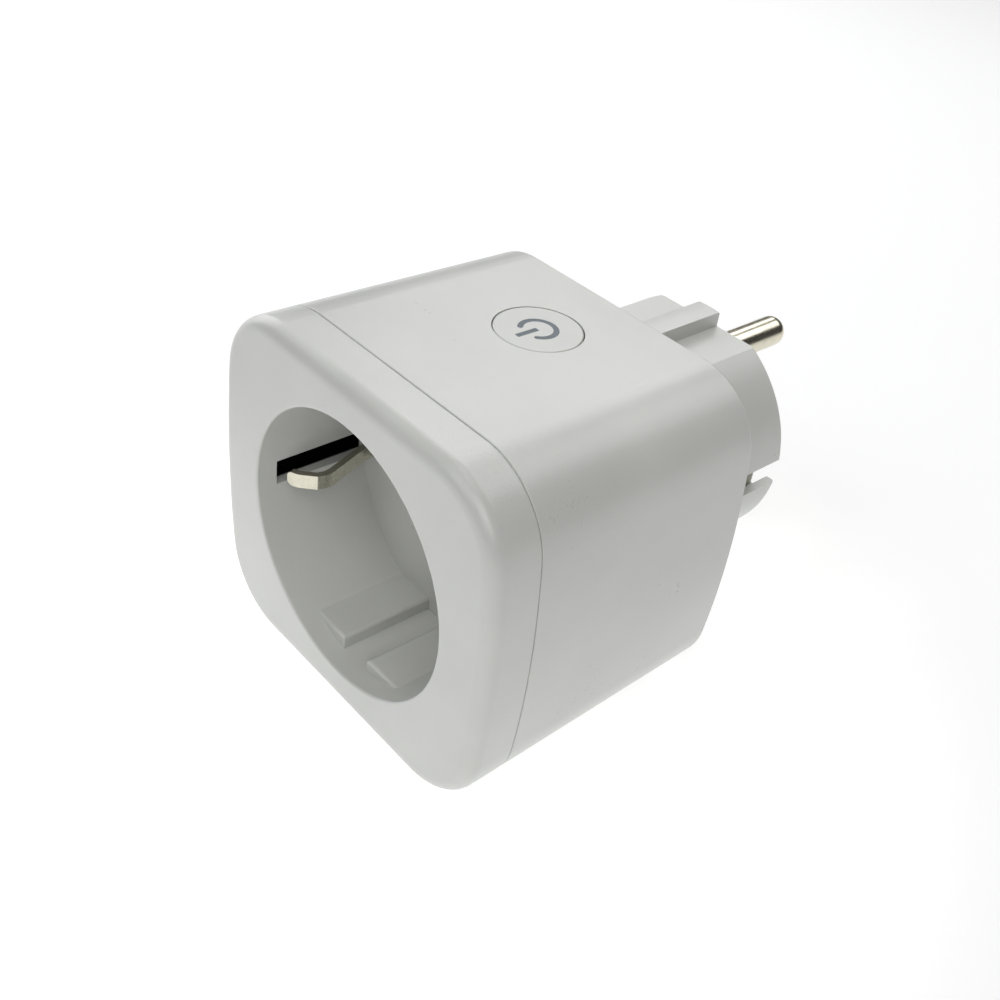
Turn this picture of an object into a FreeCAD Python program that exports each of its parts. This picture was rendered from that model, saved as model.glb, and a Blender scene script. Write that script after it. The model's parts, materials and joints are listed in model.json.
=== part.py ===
"""Smart plug: a switched mains adapter with a recessed earthed socket in front
and an earthed two-pin plug behind.

Millimetres.  +X is the right side seen from the front, +Y points into the wall,
+Z is up.  The origin is the centre of the socket's mouth, in the front face.
"""
import FreeCAD, Part
import math
import os
import re
import Sketcher

# alias, value, what it is
SIZES = [
    # play shared by many parts
    ("fit_play", 0.04, "radial play of a round part in its hole"),
    ("rest_gap", 0.05, "gap between parts that rest together"),
    ("cut_over", 1.00, "how far a cut runs past the surface it opens"),
    # enclosure
    ("half_width", 28.30, "half the width at the seam"),
    ("half_height", 25.10, "half the height at the seam"),
    ("side_bulge", 142.0, "radius of the gently convex left and right sides"),
    ("corner_radius", 11.30, "radius of the four long corners"),
    ("draft_angle", 1.24, "mould draft of the sides, in degrees"),
    ("seam_depth", 7.20, "front face to the middle of the seam"),
    ("seam_gap", 0.16, "width of the seam"),
    ("seam_round", 0.14, "rounding of the edges beside the seam"),
    ("seam_sink", 0.15, "depth of the seam's groove"),
    ("body_depth", 44.04, "front face to back face"),
    ("wall", 2.20, "wall of the housing"),
    ("face_wall", 2.00, "thickness of the front face"),
    ("front_round", 2.10, "rounding of the front edge"),
    ("back_round", 0.38, "rounding of the back edge"),
    ("lip_gap", 0.12, "play between lip and housing wall"),
    ("lip_wall", 1.05, "thickness of the lip"),
    ("lip_end", 10.00, "front face to the end of the lip"),
    # socket recess
    ("mouth_radius", 19.75, "radius of the recess"),
    ("mouth_round", 0.32, "rounding of the recess's rim"),
    ("tube_wall", 1.60, "wall of the recess"),
    ("mouth_depth", 17.90, "depth of the recess"),
    ("feature_start", 3.15, "front face to the first end of slots and guide blocks"),
    ("slot_half", 1.90, "half the height of an earth clip's slot"),
    ("guide_level", 17.50, "height of a guide block's flat, from the axis"),
    ("guide_inner", 2.60, "half the gap between two guide blocks"),
    ("guide_outer", 9.70, "far end of a guide block, inside the wall"),
    ("guide_round", 0.50, "rounding of a guide block's corner"),
    ("floor_thick", 2.00, "thickness of the recess's floor"),
    ("pin_pitch", 9.50, "axis to each pin"),
    ("pin_radius", 2.40, "radius of a plug pin"),
    ("hole_radius", 2.80, "radius of a pin hole"),
    ("hole_chamfer", 0.60, "lead-in of a pin hole"),
    ("notch_near", 15.60, "near end of a clip's notch in the floor"),
    ("notch_far", 19.30, "far end of a clip's notch in the floor"),
    ("notch_half", 1.35, "half the height of a clip's notch"),
    # posts and screws
    ("post_across", 20.00, "axis to a screw post, across"),
    ("post_up", 16.80, "axis to a screw post, up"),
    ("post_radius", 2.60, "radius of a screw post"),
    ("pilot_radius", 1.30, "radius of a pilot hole"),
    ("pilot_depth", 12.00, "depth of a pilot hole"),
    ("screw_radius", 1.25, "radius of a screw's thread"),
    ("screw_clear", 1.50, "radius of a clearance hole"),
    ("head_radius", 2.30, "radius of a screw's head"),
    ("head_height", 1.15, "height of a screw's head"),
    ("sink_radius", 2.55, "radius of a head's recess"),
    ("sink_depth", 1.25, "depth of a head's recess"),
    ("screw_length", 10.00, "length of a screw under its head"),
    ("cross_length", 2.60, "length of the cross recess's arms"),
    ("cross_width", 0.55, "width of the cross recess's arms"),
    ("cross_depth", 0.70, "depth of the cross recess"),
    # shutter
    ("shutter_start", 20.05, "front face to the shutter"),
    ("shutter_thick", 1.45, "thickness of the shutter"),
    ("shutter_left", 11.40, "axis to the shutter's left end"),
    ("shutter_right", 4.40, "axis to the shutter's right end"),
    ("shutter_half", 13.40, "half the height of the shutter"),
    ("shutter_travel", 6.20, "travel that uncovers the holes"),
    ("frame_play", 0.15, "play between shutter and frame"),
    ("frame_wall", 1.80, "wall of the shutter's frame"),
    ("frame_right", 13.90, "axis to the spring's seat"),
    ("spring_radius", 0.50, "middle radius of the shutter's spring"),
    ("spring_wire", 0.14, "radius of the spring's wire"),
    ("spring_pitch", 1.15, "pitch of the spring"),
    # contacts and their carrier
    ("carrier_start", 22.60, "front face to the contact carrier"),
    ("carrier_end", 36.00, "front face to the carrier's back"),
    ("carrier_half", 6.90, "half the width of the carrier"),
    ("carrier_tall", 15.30, "half the height of the carrier"),
    ("cell_half", 5.20, "half the width of a contact's cell"),
    ("cell_tall", 4.20, "half the height of a contact's cell"),
    ("sheet_thick", 0.60, "thickness of the contact sheet"),
    ("contact_half", 2.60, "half the height of a contact's leaf"),
    ("leaf_pinch", 2.45, "axis to a leaf where it holds the pin"),
    ("leaf_root", 3.90, "axis to a leaf at its root"),
    ("leaf_mouth", 4.20, "axis to a leaf at its flared mouth"),
    ("leaf_front", 23.80, "front face to a leaf's mouth"),
    ("leaf_pinch_depth", 26.60, "front face to where the leaves hold the pin"),
    ("contact_back", 35.60, "front face to a contact's back"),
    ("tail_width", 2.00, "width of a contact's tail at its root"),
    ("tail_step", 1.00, "step of a contact's tail, back and out"),
    ("tail_rise", 1.80, "height of a contact's tail"),
    # earth clips and earth strap
    ("clip_thick", 0.95, "thickness of an earth clip"),
    ("clip_half", 1.10, "half the height of an earth clip"),
    ("clip_root", 17.38, "axis to the clip's root"),
    ("clip_root_depth", 21.60, "front face to the clip's root"),
    ("clip_waist", 16.90, "axis to the clip's rear bend"),
    ("clip_waist_depth", 16.10, "front face to the rear bend"),
    ("clip_apex", 14.25, "axis to the clip's innermost bend"),
    ("clip_apex_depth", 8.20, "front face to the innermost bend"),
    ("clip_crease", 14.72, "axis to the clip's crease"),
    ("clip_crease_depth", 6.45, "front face to the crease"),
    ("clip_knee", 16.60, "axis to the clip's front bend"),
    ("clip_knee_depth", 4.40, "front face to the front bend"),
    ("clip_tip", 18.10, "axis to the clip's front tip"),
    ("clip_tip_depth", 3.78, "front face to the front tip"),
    ("clip_bend", 2.60, "radius of the clip's bends"),
    ("crease_bend", 0.45, "radius of the clip's crease"),
    ("tip_corner", 0.80, "rounding of the corners of the clip's tip"),
    ("strap_start", 21.75, "front face to the earth strap"),
    ("strap_half", 2.00, "half the height of the earth strap"),
    ("strap_side", 7.10, "axis to the strap's side run"),
    ("strap_cross", 36.30, "front face to the strap's cross run"),
    ("strap_step", 50.00, "front face to the strap's step outwards"),
    ("strap_arm", 12.10, "axis to the strap's rear arm"),
    ("strap_end", 59.50, "front face to the strap's end"),
    # plug base and pins
    ("base_radius", 18.54, "radius of the plug base"),
    ("base_length", 21.08, "back face to the plug base's end"),
    ("base_flat", 16.12, "axis to a flat of the plug base"),
    ("rib_half", 1.95, "half the width of the rib on a flat"),
    ("base_round", 0.35, "rounding of the plug base's end"),
    ("base_hollow", 13.20, "radius of the plug base's hollow"),
    ("base_end_wall", 4.00, "end wall of the plug base"),
    ("spigot_radius", 15.50, "radius of the spigot in the housing"),
    ("spigot_length", 3.40, "length of the spigot"),
    ("opening_radius", 15.60, "radius of the housing's rear opening"),
    ("earth_slot_half", 1.95, "half the height of a side earth slot"),
    ("earth_slot_floor", 14.70, "axis to the floor of an earth chamber"),
    ("earth_lip", 17.00, "axis to the inner side of the lips beside a slot"),
    ("chamber_half", 4.50, "half the height of an earth chamber"),
    ("chamber_start", 46.00, "front face to an earth chamber"),
    ("contact_rise", 1.30, "height of a rear contact's bow"),
    ("bow_foot", 1.00, "flat foot of a rear contact"),
    ("bow_front", 4.50, "rear contact's front end to its crest"),
    ("bow_back", 3.50, "crest to the rear contact's back end"),
    ("rear_contact_half", 3.90, "half the height of a rear contact"),
    ("rear_contact_start", 47.00, "front face to a rear contact"),
    ("rear_contact_end", 63.90, "front face to a rear contact's end"),
    ("peg_radius", 0.80, "radius of a rear contact's peg"),
    ("pin_length", 19.00, "free length of a plug pin"),
    ("pin_tip_round", 1.90, "rounding of a pin's tip"),
    ("root_radius", 2.15, "radius of a pin inside the plug base"),
    ("shank_radius", 1.50, "radius of a pin's inner shank"),
    ("shank_start", 45.20, "front face to the shank"),
    ("shank_end", 49.50, "front face to the shank's shoulder"),
    ("collar_radius", 3.30, "radius of a pin's collar"),
    ("collar_width", 2.10, "width of a pin's collar"),
    ("clamp_half", 5.00, "half the width of the pin clamp"),
    ("clamp_tall", 12.00, "half the height of the pin clamp"),
    ("clamp_thick", 2.50, "thickness of the pin clamp"),
    ("clamp_pilot", 2.80, "depth of the clamp screw's pilot hole"),
    ("clamp_bite", 2.30, "length of the clamp screw in its pilot hole"),
    # busbars
    ("bar_thick", 0.80, "thickness of a busbar"),
    ("bar_low", 7.20, "axis to a busbar's lower edge"),
    ("bar_high", 11.20, "axis to a busbar's upper edge"),
    ("bar_out", 6.80, "axis to a busbar's side run"),
    ("bar_back", 45.60, "front face to a busbar's rear run"),
    ("bar_front", 37.60, "front face to a busbar's front run"),
    ("bar_right", 2.20, "axis to a busbar's free end"),
    # power button
    ("button_depth", 29.75, "front face to the button's centre"),
    ("button_radius", 5.94, "radius of the button"),
    ("button_gap", 0.15, "gap round the button"),
    ("button_top", 0.90, "thickness of the button's top"),
    ("button_edge", 0.18, "rounding of the button's edge"),
    ("flange_radius", 7.20, "radius of the button's flange"),
    ("flange_top", 2.32, "button's top to its flange"),
    ("button_height", 3.10, "button's top to its lower end"),
    ("guide_radius", 5.00, "radius of the light guide"),
    ("symbol_outer", 2.76, "outer radius of the power symbol's ring"),
    ("symbol_stroke", 0.80, "stroke of the power symbol"),
    ("symbol_gap", 44.0, "half the opening of the symbol's ring, in degrees"),
    ("symbol_sink", 0.03, "depth of the mark below the button's top"),
    ("bar_inner", 0.15, "symbol's centre to the near end of its bar"),
    ("bar_outer", 3.75, "symbol's centre to the far end of its bar"),
    # control board on top
    ("board_thick", 1.20, "thickness of a circuit board"),
    ("control_level", 16.40, "axis to the control board's underside"),
    ("control_half", 16.90, "half the width of the control board"),
    ("control_start", 24.00, "front face to the control board"),
    ("control_end", 41.40, "front face to the control board's end"),
    ("switch_side", 6.00, "side of the tactile switch"),
    ("switch_height", 1.90, "height of the tactile switch"),
    ("plunger_radius", 1.60, "radius of the switch's plunger"),
    ("plunger_sink", 0.60, "depth of the plunger's well"),
    ("plunger_room", 0.50, "room under the plunger"),
    ("led_width", 0.80, "width of the indicator"),
    ("led_length", 1.60, "length of the indicator"),
    ("led_height", 0.70, "height of the indicator"),
    ("led_offset", 4.50, "button's axis to the indicator"),
    ("radio_left", 16.20, "axis to the radio module's left edge"),
    ("radio_width", 11.00, "width of the radio module"),
    ("radio_start", 24.60, "front face to the radio module"),
    ("radio_length", 16.00, "length of the radio module"),
    ("radio_thick", 0.80, "thickness of the radio module"),
    ("shield_margin", 0.70, "edge of the module left free by its shield"),
    ("shield_length", 10.50, "length of the shield"),
    ("shield_height", 1.70, "height of the shield"),
    ("aerial_stroke", 0.60, "width of the aerial's track"),
    ("aerial_length", 3.20, "length of the aerial's runs"),
    ("track_thick", 0.10, "thickness of the aerial's track"),
    # power boards at the sides
    ("side_board", 21.90, "axis to a side board"),
    ("side_half", 14.00, "half the height of a side board"),
    ("side_start", 24.00, "front face to a side board"),
    ("side_end", 41.00, "front face to a side board's end"),
    ("relay_depth", 11.80, "relay's height off its board"),
    ("relay_start", 25.00, "front face to the relay"),
    ("relay_end", 36.60, "front face to the relay's end"),
    ("relay_low", 14.00, "axis down to the relay's foot"),
    ("relay_high", 5.20, "axis up to the relay's head"),
    ("film_depth", 11.00, "film capacitor's height off its board"),
    ("film_start", 25.00, "front face to the film capacitor"),
    ("film_width", 6.00, "width of the film capacitor"),
    ("film_low", 1.20, "axis to the film capacitor's foot"),
    ("film_high", 12.80, "axis to the film capacitor's head"),
    ("can_radius", 4.00, "radius of the storage capacitor"),
    ("can_length", 11.50, "length of the storage capacitor"),
    ("can_depth", 30.00, "front face to the storage capacitor"),
    ("can_drop", 6.80, "axis down to the storage capacitor"),
    ("choke_radius", 3.00, "radius of the choke"),
    ("choke_length", 9.00, "length of the choke"),
    ("choke_flange", 1.00, "thickness of the choke's flanges"),
    ("choke_waist", 0.60, "depth of the choke's winding below its flanges"),
    ("choke_depth", 37.40, "front face to the choke"),
    ("disc_radius", 4.00, "radius of the varistor"),
    ("disc_thick", 3.00, "thickness of the varistor"),
    ("disc_start", 33.40, "front face to the varistor"),
    ("disc_out", 17.20, "axis to the varistor, across"),
    ("disc_up", 8.60, "axis to the varistor, up"),
    ("fuse_radius", 1.35, "radius of the fuse"),
    ("fuse_cap_radius", 1.55, "radius of a fuse's cap"),
    ("fuse_start", 25.20, "front face to the fuse"),
    ("fuse_length", 10.00, "length of the fuse"),
    ("fuse_cap", 2.20, "length of a fuse's cap"),
    ("fuse_step", 0.10, "how far a cap stands past its tube"),
    ("fuse_out", 20.20, "axis to the fuse, across"),
    ("fuse_drop", 12.50, "axis down to the fuse"),
    ("part_round", 0.50, "rounding of moulded component cases"),
]
ALIASES = {row[0] for row in SIZES}
ORIGIN_POINT = (-1, 1)

doc = FreeCAD.newDocument("smart_plug")
sheet = doc.addObject("Spreadsheet::Sheet", "Sizes")


# ---------------------------------------------------------------- sizes
def fill_sheet():
    """Write every driving dimension into the sheet, with its alias and meaning."""
    for row, (alias, size, meaning) in enumerate(SIZES, start=1):
        sheet.set("A%d" % row, meaning)
        sheet.set("B%d" % row, str(size))
        sheet.setAlias("B%d" % row, alias)
    doc.recompute()


def qualify(text):
    """Turn the aliases of a formula into references to the sheet."""
    return re.sub(r"[a-z][a-z_]*", lambda word: "Sizes." + word.group(0)
                  if word.group(0) in ALIASES else word.group(0), str(text))


def measure(text):
    """The present value of a formula, for first positions and for choosing edges."""
    answer = sheet.evalExpression(qualify(text))
    return float(getattr(answer, "Value", answer))


def bind(thing, prop, text):
    """Bind a property to a formula of the sheet's aliases."""
    thing.setExpression(prop, qualify(text))


# ---------------------------------------------------------------- bodies and sketches
def new_body(label):
    body = doc.addObject("PartDesign::Body", label)
    body.Label = label
    return body


def origin_plane(body, role):
    return next(item for item in body.Origin.OriginFeatures if item.Role == role)


def new_sketch(body, role, level="0"):
    """A sketch parallel to one of the body's own planes, at a level along +X, +Y or +Z."""
    sketch = body.newObject("Sketcher::SketchObject", "Sketch")
    sketch.AttachmentSupport = [(origin_plane(body, role), "")]
    sketch.MapMode = "FlatFace"
    sign = "-" if role == "XZ_Plane" else ""
    bind(sketch, "AttachmentOffset.Base.z", "%s(%s)" % (sign, level))
    return sketch


def rule(sketch, kind, *picks, size=None):
    """Add a constraint, bound to a formula if it has a size."""
    if size is None:
        return sketch.addConstraint(Sketcher.Constraint(kind, *picks))
    index = sketch.addConstraint(Sketcher.Constraint(kind, *picks, measure(size)))
    bind(sketch, "Constraints[%d]" % index, size)
    return index


def pin_point(sketch, curve, end, across, up):
    """Fix a point of a curve at formulas of the sketch's two axes."""
    for kind, size in (("DistanceX", across), ("DistanceY", up)):
        rule(sketch, kind, *ORIGIN_POINT, curve, end, size=size)


def vector(across, up):
    return FreeCAD.Vector(measure(across), measure(up), 0)


def circle(sketch, radius, across="0", up="0"):
    curve = sketch.addGeometry(Part.Circle(vector(across, up), FreeCAD.Vector(0, 0, 1), measure(radius)))
    rule(sketch, "Radius", curve, size=radius)
    pin_point(sketch, curve, 3, across, up)
    return curve


def polygon(sketch, points):
    """A closed outline of straight lines through points given as formulas."""
    corners = [vector(*point) for point in points]
    count = len(corners)
    lines = [sketch.addGeometry(Part.LineSegment(corners[i], corners[(i + 1) % count]))
             for i in range(count)]
    for i, line in enumerate(lines):
        rule(sketch, "Coincident", line, 2, lines[(i + 1) % count], 1)
        pin_point(sketch, line, 1, *points[i])
    return lines


def rectangle(sketch, left, right, low, high):
    return polygon(sketch, [(left, low), (right, low), (right, high), (left, high)])


def round_square(sketch, inset="0"):
    """The enclosure's section: flat top and bottom, convex sides, large corners, all set in."""
    wide, tall = measure("half_width - (%s)" % inset), measure("half_height - (%s)" % inset)
    bulge, corner = measure("side_bulge - (%s)" % inset), measure("corner_radius - (%s)" % inset)
    middle = wide - bulge
    rise = tall - corner
    reach = middle + ((bulge - corner) ** 2 - rise ** 2) ** 0.5
    tangent = FreeCAD.Vector(reach - middle, rise, 0).normalize()
    side_angle = FreeCAD.Vector(1, 0, 0).getAngle(tangent)
    quarter, half = math.pi / 2, math.pi
    up = FreeCAD.Vector(0, 0, 1)

    def arc(across, height, radius, start, end):
        round_curve = Part.Circle(FreeCAD.Vector(across, height, 0), up, radius)
        return sketch.addGeometry(Part.ArcOfCircle(round_curve, start, end))

    def line(start, end, height):
        return sketch.addGeometry(Part.LineSegment(FreeCAD.Vector(start, height, 0),
                                                   FreeCAD.Vector(end, height, 0)))

    right = arc(middle, 0, bulge, -side_angle, side_angle)
    top_right = arc(reach, rise, corner, side_angle, quarter)
    top = line(reach, -reach, tall)
    top_left = arc(-reach, rise, corner, quarter, half - side_angle)
    left = arc(-middle, 0, bulge, half - side_angle, half + side_angle)
    low_left = arc(-reach, -rise, corner, half + side_angle, half + quarter)
    low = line(-reach, reach, -tall)
    low_right = arc(reach, -rise, corner, half + quarter, 2 * half - side_angle)
    ring = [right, top_right, top, top_left, left, low_left, low, low_right]
    for first, second in zip(ring, ring[1:] + ring[:1]):
        rule(sketch, "Tangent", first, 2, second, 1)
    for curve in (top_left, low_left, low_right):
        rule(sketch, "Equal", top_right, curve)
    rule(sketch, "Equal", right, left)
    rule(sketch, "Radius", top_right, size="corner_radius - (%s)" % inset)
    rule(sketch, "Radius", right, size="side_bulge - (%s)" % inset)
    rule(sketch, "DistanceX", right, 3, *ORIGIN_POINT, size="side_bulge - half_width")
    rule(sketch, "DistanceX", *ORIGIN_POINT, left, 3, size="side_bulge - half_width")
    rule(sketch, "PointOnObject", right, 3, -1)
    rule(sketch, "PointOnObject", left, 3, -1)
    rule(sketch, "DistanceY", *ORIGIN_POINT, top, 1, size="half_height - (%s)" % inset)
    rule(sketch, "DistanceY", low, 1, *ORIGIN_POINT, size="half_height - (%s)" % inset)
    rule(sketch, "Horizontal", top)
    rule(sketch, "Horizontal", low)


def grow(body, sketch, length, toward, taper=None):
    """Pad a sketch towards +X, -X, +Y, -Y, +Z, -Z or both ways alike."""
    return extrude(body, "PartDesign::Pad", sketch, length, toward, ("+Y", "-Z", "-X"), taper)


def carve(body, sketch, length, toward, taper=None):
    """Pocket a sketch towards +X, -X, +Y, -Y, +Z, -Z or both ways alike."""
    return extrude(body, "PartDesign::Pocket", sketch, length, toward, ("-Y", "+Z", "+X"), taper)


def extrude(body, kind, sketch, length, toward, reversed_ways, taper):
    doc.recompute()
    before = body.Shape.Volume if body.Tip and not body.Shape.isNull() else 0.0
    feature = body.newObject(kind, kind.split("::")[1])
    feature.Profile = sketch
    bind(feature, "Length", length)
    if toward == "both":
        feature.SideType = "Symmetric"
    else:
        feature.Reversed = toward in reversed_ways
    if taper:
        bind(feature, "TaperAngle", taper)
    doc.recompute()
    if abs(body.Shape.Volume - before) < 1e-3:
        raise RuntimeError("%s of %s changes nothing" % (feature.Name, body.Label))
    return feature


def revolve(body, sketch, axis):
    feature = body.newObject("PartDesign::Revolution", "Revolution")
    feature.Profile = sketch
    feature.ReferenceAxis = (sketch, [axis])
    feature.Angle = 360
    doc.recompute()
    return feature


def dress(body, kind, prop, size, chosen):
    """Round or chamfer the edges of the body so far that a test picks out."""
    doc.recompute()
    base = body.Tip
    names = ["Edge%d" % number for number, edge in enumerate(base.Shape.Edges, start=1) if chosen(edge)]
    if not names:
        raise RuntimeError("no edges to dress on %s" % body.Label)
    feature = body.newObject(kind, kind.split("::")[1])
    feature.Base = (base, names)
    bind(feature, prop, size)
    doc.recompute()
    return feature


def fillet(body, radius, chosen):
    return dress(body, "PartDesign::Fillet", "Radius", radius, chosen)


def chamfer(body, size, chosen):
    return dress(body, "PartDesign::Chamfer", "Size", size, chosen)


def place(piece, across="0", depth="0", up="0"):
    for axis, size in zip("xyz", (across, depth, up)):
        bind(piece, "Placement.Base.%s" % axis, size)


def half_turn(piece):
    """Turn a piece half way round the plug's own axis: its twin on the other pole."""
    piece.Placement = FreeCAD.Placement(FreeCAD.Vector(), FreeCAD.Rotation(FreeCAD.Vector(0, 1, 0), 180))


# ---------------------------------------------------------------- tests that pick edges
def near(a, b, slack=0.02):
    return abs(a - b) < slack


def flat_at(axis, level):
    """A test for edges that lie in a plane across X, Y or Z."""
    def test(edge):
        box = edge.BoundBox
        low, high = getattr(box, axis + "Min"), getattr(box, axis + "Max")
        return near(low, level) and near(high, level)
    return test


def ring_at(depth, radius):
    """A test for a circle about the plug's axis."""
    def test(edge):
        curve = edge.Curve
        return (isinstance(curve, Part.Circle) and near(curve.Radius, radius)
                and near(curve.Center.y, depth) and near(curve.Center.x, 0) and near(curve.Center.z, 0))
    return test


def straight_along(edge, axis):
    if not isinstance(edge.Curve, Part.Line):
        return False
    return abs(getattr(edge.Curve.Direction, axis)) > 0.999


# ---------------------------------------------------------------- primitives
def block(label, left, right, front, back, low, high):
    """A box between formulas for its six sides."""
    solid = doc.addObject("Part::Box", label)
    solid.Label = label
    bind(solid, "Length", "(%s) - (%s)" % (right, left))
    bind(solid, "Width", "(%s) - (%s)" % (back, front))
    bind(solid, "Height", "(%s) - (%s)" % (high, low))
    place(solid, left, front, low)
    return solid


def rod(label, radius, length, axis, across, depth, up):
    """A cylinder along +X, +Y or +Z from a point given as formulas."""
    solid = doc.addObject("Part::Cylinder", label)
    solid.Label = label
    turns = {"x": ((0, 1, 0), 90), "y": ((1, 0, 0), -90), "z": ((0, 0, 1), 0)}
    direction, angle = turns[axis]
    solid.Placement = FreeCAD.Placement(FreeCAD.Vector(), FreeCAD.Rotation(FreeCAD.Vector(*direction), angle))
    bind(solid, "Radius", radius)
    bind(solid, "Height", length)
    place(solid, across, depth, up)
    return solid


def join(label, pieces):
    whole = doc.addObject("Part::MultiFuse", label)
    whole.Label = label
    whole.Shapes = pieces
    whole.Refine = True
    return whole


def group(label, pieces):
    """Separate solids that share one node."""
    whole = doc.addObject("Part::Compound", label)
    whole.Label = label
    whole.Links = pieces
    return whole


def subtract(label, base, tool):
    rest = doc.addObject("Part::Cut", label)
    rest.Label = label
    rest.Base = base
    rest.Tool = tool
    return rest


def rounded(label, base, radius, chosen):
    """Round the edges of a primitive that a test picks out."""
    doc.recompute()
    size = measure(radius)
    whole = doc.addObject("Part::Fillet", label)
    whole.Label = label
    whole.Base = base
    whole.Edges = [(number, size, size) for number, edge in enumerate(base.Shape.Edges, start=1)
                   if chosen(edge)]
    return whole


# ---------------------------------------------------------------- enclosure
def make_front_cap():
    """Front face, recess wall, slots, guide blocks, lip and screw posts in one moulding."""
    body = new_body("front_cap")
    back = "seam_depth - seam_gap / 2"
    sketch = new_sketch(body, "XZ_Plane", back)
    round_square(sketch)
    grow(body, sketch, back, "-Y", "draft_angle")
    fillet(body, "front_round", flat_at("Y", 0.0))
    fillet(body, "seam_round", flat_at("Y", measure(back)))
    sketch = new_sketch(body, "XZ_Plane", back)
    round_square(sketch, "seam_sink")
    grow(body, sketch, "seam_gap - fit_play", "+Y")
    sketch = new_sketch(body, "XZ_Plane", back)
    round_square(sketch, "wall + lip_gap")
    grow(body, sketch, "lip_end - (%s)" % back, "+Y")
    sketch = new_sketch(body, "XZ_Plane", "lip_end")
    round_square(sketch, "wall + lip_gap + lip_wall")
    carve(body, sketch, "lip_end - face_wall", "-Y")
    sketch = new_sketch(body, "XZ_Plane", "face_wall / 2")
    circle(sketch, "mouth_radius + tube_wall")
    grow(body, sketch, "mouth_depth - face_wall / 2", "+Y")
    add_posts(body)
    sketch = new_sketch(body, "XZ_Plane")
    circle(sketch, "mouth_radius")
    carve(body, sketch, "mouth_depth", "+Y")
    fillet(body, "mouth_round", ring_at(0.0, measure("mouth_radius")))
    add_guide_blocks(body)
    sketch = new_sketch(body, "YZ_Plane")
    rectangle(sketch, "feature_start", "mouth_depth + cut_over", "-slot_half", "slot_half")
    carve(body, sketch, "2 * (mouth_radius + tube_wall + cut_over)", "both")
    return body


def add_posts(body):
    """Four posts that the housing's screws reach from behind."""
    sketch = new_sketch(body, "XZ_Plane", "face_wall / 2")
    for across in ("-post_across", "post_across"):
        for up in ("-post_up", "post_up"):
            circle(sketch, "post_radius", across, up)
    grow(body, sketch, "body_depth - wall - face_wall / 2", "+Y")
    sketch = new_sketch(body, "XZ_Plane", "body_depth - wall")
    for across in ("-post_across", "post_across"):
        for up in ("-post_up", "post_up"):
            circle(sketch, "pilot_radius", across, up)
    carve(body, sketch, "pilot_depth", "-Y")


def add_guide_blocks(body):
    """Two flat-topped blocks at the bottom of the recess and two at its top."""
    sketch = new_sketch(body, "XZ_Plane", "feature_start")
    wall_middle = "(mouth_radius + tube_wall / 2)"
    for up in ("-", ""):
        for side in ("-", ""):
            corners = [("%sguide_inner" % side, "%sguide_level" % up),
                       ("%sguide_outer" % side, "%sguide_level" % up),
                       ("%sguide_outer" % side, "%ssqrt(%s^2 - guide_outer^2)" % (up, wall_middle)),
                       ("%sguide_inner" % side, "%ssqrt(%s^2 - guide_inner^2)" % (up, wall_middle))]
            polygon(sketch, corners)
    grow(body, sketch, "mouth_depth - feature_start", "+Y")
    level, inner, start = measure("guide_level"), measure("guide_inner"), measure("feature_start")

    def inner_edge(edge):
        box = edge.BoundBox
        return (straight_along(edge, "y") and near(abs(box.ZMin), level) and near(abs(box.XMin), inner))

    def front_edge(edge):
        box = edge.BoundBox
        return (straight_along(edge, "x") and near(abs(box.ZMin), level) and near(box.YMin, start)
                and near(min(abs(box.XMin), abs(box.XMax)), inner))

    fillet(body, "guide_round", lambda edge: inner_edge(edge) or front_edge(edge))


def make_socket_floor():
    """Disc that closes the recess, with two pin holes and a notch for each earth clip."""
    body = new_body("socket_floor")
    sketch = new_sketch(body, "XZ_Plane", "mouth_depth")
    circle(sketch, "mouth_radius + tube_wall")
    grow(body, sketch, "floor_thick", "+Y")
    sketch = new_sketch(body, "XZ_Plane", "mouth_depth")
    for up in ("-pin_pitch", "pin_pitch"):
        circle(sketch, "hole_radius", "0", up)
    for left, right in (("-notch_far", "-notch_near"), ("notch_near", "notch_far")):
        rectangle(sketch, left, right, "-notch_half", "notch_half")
    carve(body, sketch, "floor_thick", "+Y")
    depth, hole = measure("mouth_depth"), measure("hole_radius")
    chamfer(body, "hole_chamfer", lambda edge: isinstance(edge.Curve, Part.Circle)
            and near(edge.Curve.Radius, hole) and near(edge.Curve.Center.y, depth))
    return body


def make_housing():
    """Drafted shell behind the seam, open for the button, the screws and the plug base."""
    body = new_body("housing")
    front = "seam_depth + seam_gap / 2"
    sketch = new_sketch(body, "XZ_Plane", front)
    round_square(sketch)
    grow(body, sketch, "body_depth - (%s)" % front, "+Y", "-draft_angle")
    fillet(body, "back_round", flat_at("Y", measure("body_depth")))
    fillet(body, "seam_round", flat_at("Y", measure(front)))
    sketch = new_sketch(body, "XZ_Plane", front)
    round_square(sketch, "wall")
    carve(body, sketch, "body_depth - wall - (%s)" % front, "+Y", "-draft_angle")
    sketch = new_sketch(body, "XZ_Plane", "body_depth - wall")
    circle(sketch, "opening_radius")
    for across in ("-post_across", "post_across"):
        for up in ("-post_up", "post_up"):
            circle(sketch, "screw_clear", across, up)
    carve(body, sketch, "wall", "+Y")
    sketch = new_sketch(body, "XZ_Plane", "body_depth")
    for across in ("-post_across", "post_across"):
        for up in ("-post_up", "post_up"):
            circle(sketch, "sink_radius", across, up)
    carve(body, sketch, "sink_depth", "-Y")
    sketch = new_sketch(body, "XY_Plane", "half_height - wall - cut_over")
    circle(sketch, "button_radius + button_gap", "0", "button_depth")
    carve(body, sketch, "wall + 2 * cut_over", "+Z")
    return body


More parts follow.
